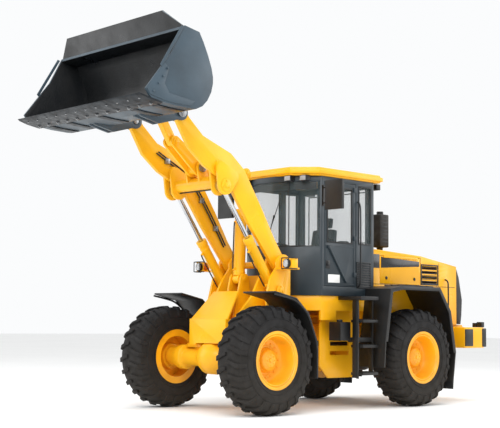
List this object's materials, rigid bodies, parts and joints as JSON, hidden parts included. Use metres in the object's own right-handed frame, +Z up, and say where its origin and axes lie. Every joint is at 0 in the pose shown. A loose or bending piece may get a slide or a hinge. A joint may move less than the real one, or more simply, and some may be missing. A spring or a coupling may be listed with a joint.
{
  "type": "wheel loader",
  "caption": "Articulated wheel loader with a cab, a raised Z-bar boom with a general purpose bucket, a hood with opening doors and large tyres on deep dished rims.",
  "frame": {"origin": "on the ground, at the centre of the machine's own bounding box", "axes": "+X forward towards the bucket, +Y to the machine's left, +Z up"},
  "size_m": [7.754, 2.74, 5.235],
  "materials": {
    "yellow": "gloss",
    "boom_yellow": "gloss",
    "slate": "satin",
    "black": "satin",
    "rubber": "matte",
    "chrome": "polished",
    "glass": "polished",
    "steel": "satin",
    "fabric": "matte"
  },
  "bodies": {
    "rear_body": {"rear_frame": "yellow", "rear_axle": "black", "counterweight": "yellow", "hood": "yellow", "engine_block": "steel", "exhaust_stack": "black", "cab_frame": "black", "cab_roof": "yellow", "windshield": "glass", "rear_window": "glass", "quarter_window_left": "glass", "quarter_window_right": "glass", "side_window_right": "glass", "seat": "fabric", "steering_column": "black", "rear_fender_left": "black", "rear_fender_right": "black", "ladder_left": "black", "ladder_right": "black", "mirror_left": "black", "mirror_right": "black"},
    "hood_door_left": {"hood_door_left": "yellow"},
    "hood_door_right": {"hood_door_right": "yellow"},
    "grille_door": {"grille_door": "black"},
    "cab_door": {"door_left": "black", "door_glass": "glass"},
    "front_body": {"front_frame": "yellow", "front_axle": "black", "front_fender_left": "black", "front_fender_right": "black"},
    "wheel_front_left": {"tyre_front_left": "rubber", "rim_front_left": "yellow"},
    "wheel_front_right": {"tyre_front_right": "rubber", "rim_front_right": "yellow"},
    "wheel_rear_left": {"tyre_rear_left": "rubber", "rim_rear_left": "yellow"},
    "wheel_rear_right": {"tyre_rear_right": "rubber", "rim_rear_right": "yellow"},
    "boom": {"boom": "boom_yellow"},
    "bellcrank_pin": {"bellcrank_pin": "steel"},
    "bellcrank": {"bellcrank": "boom_yellow"},
    "bucket_pins": {"bucket_pin_left": "steel", "bucket_pin_right": "steel"},
    "bucket": {"bucket_shell": "slate", "cutting_edge": "black"},
    "link_pin": {"link_pin": "steel"},
    "tilt_link": {"tilt_link": "boom_yellow"},
    "lift_barrel_left": {"lift_barrel_left": "boom_yellow"},
    "lift_barrel_right": {"lift_barrel_right": "boom_yellow"},
    "lift_rod_left": {"lift_rod_left": "chrome"},
    "lift_rod_right": {"lift_rod_right": "chrome"},
    "tilt_barrel": {"tilt_barrel": "boom_yellow"},
    "tilt_rod": {"tilt_rod": "chrome"},
    "steer_barrel_left": {"steer_barrel_left": "black"},
    "steer_barrel_right": {"steer_barrel_right": "black"},
    "steer_rod_left": {"steer_rod_left": "chrome"},
    "steer_rod_right": {"steer_rod_right": "chrome"}
  },
  "joints": [
    {"name": "articulation", "type": "hinge", "parent": "rear_body", "child": "front_body", "pos_m": [-0.207, 0, 0.95], "axis": [0, 0, 1], "range_deg": [-40, 40]},
    {"name": "boom_lift", "type": "hinge", "parent": "front_body", "child": "boom", "pos_m": [0.593, 0, 2.1], "axis": [0, 1, 0], "range_deg": [0, 88.4]},
    {"name": "bucket_level", "type": "hinge", "parent": "boom", "child": "bucket_pins", "pos_m": [2.533, 0, 4.07], "axis": [0, 1, 0], "range_deg": [-90, 1]},
    {"name": "bucket_tilt", "type": "hinge", "parent": "bucket_pins", "child": "bucket", "pos_m": [2.533, 0, 4.07], "axis": [0, -1, 0], "range_deg": [-45, 45]},
    {"name": "bellcrank_follow", "type": "hinge", "parent": "boom", "child": "bellcrank_pin", "pos_m": [1.781, 0, 3.43], "axis": [0, 1, 0], "range_deg": [-1, 34.3]},
    {"name": "bellcrank_tilt", "type": "hinge", "parent": "bellcrank_pin", "child": "bellcrank", "pos_m": [1.781, 0, 3.43], "axis": [0, 1, 0], "range_deg": [-6, 6]},
    {"name": "link_follow", "type": "hinge", "parent": "bucket", "child": "link_pin", "pos_m": [2.605, 0, 4.35], "axis": [0, 1, 0], "range_deg": [-1, 50.7]},
    {"name": "link_tilt", "type": "hinge", "parent": "link_pin", "child": "tilt_link", "pos_m": [2.605, 0, 4.35], "axis": [0, 1, 0], "range_deg": [-30, 30]},
    {"name": "lift_barrel_left_pivot", "type": "hinge", "parent": "front_body", "child": "lift_barrel_left", "pos_m": [0.693, 0.5, 1.72], "axis": [0, 1, 0], "range_deg": [-1, 91.52]},
    {"name": "lift_rod_left_slide", "type": "slide", "parent": "lift_barrel_left", "child": "lift_rod_left", "axis": [0.5845, 0, 0.8114], "range_m": [-0.56, 0.01]},
    {"name": "lift_barrel_right_pivot", "type": "hinge", "parent": "front_body", "child": "lift_barrel_right", "pos_m": [0.693, -0.5, 1.72], "axis": [0, 1, 0], "range_deg": [-1, 91.52]},
    {"name": "lift_rod_right_slide", "type": "slide", "parent": "lift_barrel_right", "child": "lift_rod_right", "axis": [0.5845, 0, 0.8114], "range_m": [-0.56, 0.01]},
    {"name": "tilt_barrel_pivot", "type": "hinge", "parent": "front_body", "child": "tilt_barrel", "pos_m": [0.906, 0, 1.886], "axis": [0, 1, 0], "range_deg": [-1, 99]},
    {"name": "tilt_rod_slide", "type": "slide", "parent": "tilt_barrel", "child": "tilt_rod", "axis": [-0.0325, 0, 0.9995], "range_m": [-0.09, 0.09]},
    {"name": "steer_barrel_left_pivot", "type": "hinge", "parent": "rear_body", "child": "steer_barrel_left", "pos_m": [-1.057, 0.42, 0.95], "axis": [0, 0, 1], "range_deg": [-12, 12]},
    {"name": "steer_rod_left_slide", "type": "slide", "parent": "steer_barrel_left", "child": "steer_rod_left", "axis": [0.9946, -0.1038, 0], "range_m": [-0.3, 0.3]},
    {"name": "steer_barrel_right_pivot", "type": "hinge", "parent": "rear_body", "child": "steer_barrel_right", "pos_m": [-1.057, -0.42, 0.95], "axis": [0, 0, 1], "range_deg": [-12, 12]},
    {"name": "steer_rod_right_slide", "type": "slide", "parent": "steer_barrel_right", "child": "steer_rod_right", "axis": [0.9946, 0.1038, 0], "range_m": [-0.3, 0.3]},
    {"name": "wheel_front_left_spin", "type": "hinge", "parent": "front_body", "child": "wheel_front_left", "pos_m": [1.378, 1.05, 0.745], "axis": [0, 1, 0], "continuous": true},
    {"name": "wheel_front_right_spin", "type": "hinge", "parent": "front_body", "child": "wheel_front_right", "pos_m": [1.378, -1.05, 0.745], "axis": [0, 1, 0], "continuous": true},
    {"name": "wheel_rear_left_spin", "type": "hinge", "parent": "rear_body", "child": "wheel_rear_left", "pos_m": [-1.792, 1.05, 0.745], "axis": [0, 1, 0], "continuous": true},
    {"name": "wheel_rear_right_spin", "type": "hinge", "parent": "rear_body", "child": "wheel_rear_right", "pos_m": [-1.792, -1.05, 0.745], "axis": [0, 1, 0], "continuous": true},
    {"name": "cab_door_hinge", "type": "hinge", "parent": "rear_body", "child": "cab_door", "pos_m": [-0.767, 0.806, 2.6], "axis": [0, 0, 1], "range_deg": [0, 90]},
    {"name": "hood_door_left_hinge", "type": "hinge", "parent": "rear_body", "child": "hood_door_left", "pos_m": [-2.082, 0.606, 2.336], "axis": [1, 0, 0], "range_deg": [0, 75]},
    {"name": "hood_door_right_hinge", "type": "hinge", "parent": "rear_body", "child": "hood_door_right", "pos_m": [-2.082, -0.606, 2.336], "axis": [-1, 0, 0], "range_deg": [0, 75]},
    {"name": "grille_door_hinge", "type": "hinge", "parent": "rear_body", "child": "grille_door", "pos_m": [-3.58, 0.6, 1.7], "axis": [0, 0, -1], "range_deg": [0, 95]}
  ],
  "couplings": [
    {"joint": "bucket_level", "follows": "boom_lift", "ratio": -1},
    {"joint": "bellcrank_follow", "follows": "boom_lift", "ratio": 0.3862},
    {"joint": "bellcrank_tilt", "follows": "bucket_tilt", "ratio": 0.1234},
    {"joint": "link_follow", "follows": "boom_lift", "ratio": 0.5712},
    {"joint": "link_tilt", "follows": "bucket_tilt", "ratio": 0.6337},
    {"joint": "lift_barrel_left_pivot", "follows": "boom_lift", "ratio": 1.0239},
    {"joint": "lift_rod_left_slide", "follows": "boom_lift", "m_per_rad": -0.35337},
    {"joint": "lift_barrel_right_pivot", "follows": "boom_lift", "ratio": 1.0239},
    {"joint": "lift_rod_right_slide", "follows": "boom_lift", "m_per_rad": -0.35337},
    {"joint": "tilt_barrel_pivot", "follows": "boom_lift", "ratio": 1.1042},
    {"joint": "tilt_rod_slide", "follows": "bucket_tilt", "m_per_rad": 0.1131},
    {"joint": "steer_barrel_left_pivot", "follows": "articulation", "ratio": 0.21151},
    {"joint": "steer_rod_left_slide", "follows": "articulation", "m_per_rad": -0.3166},
    {"joint": "steer_barrel_right_pivot", "follows": "articulation", "ratio": 0.21151},
    {"joint": "steer_rod_right_slide", "follows": "articulation", "m_per_rad": 0.3166}
  ]
}
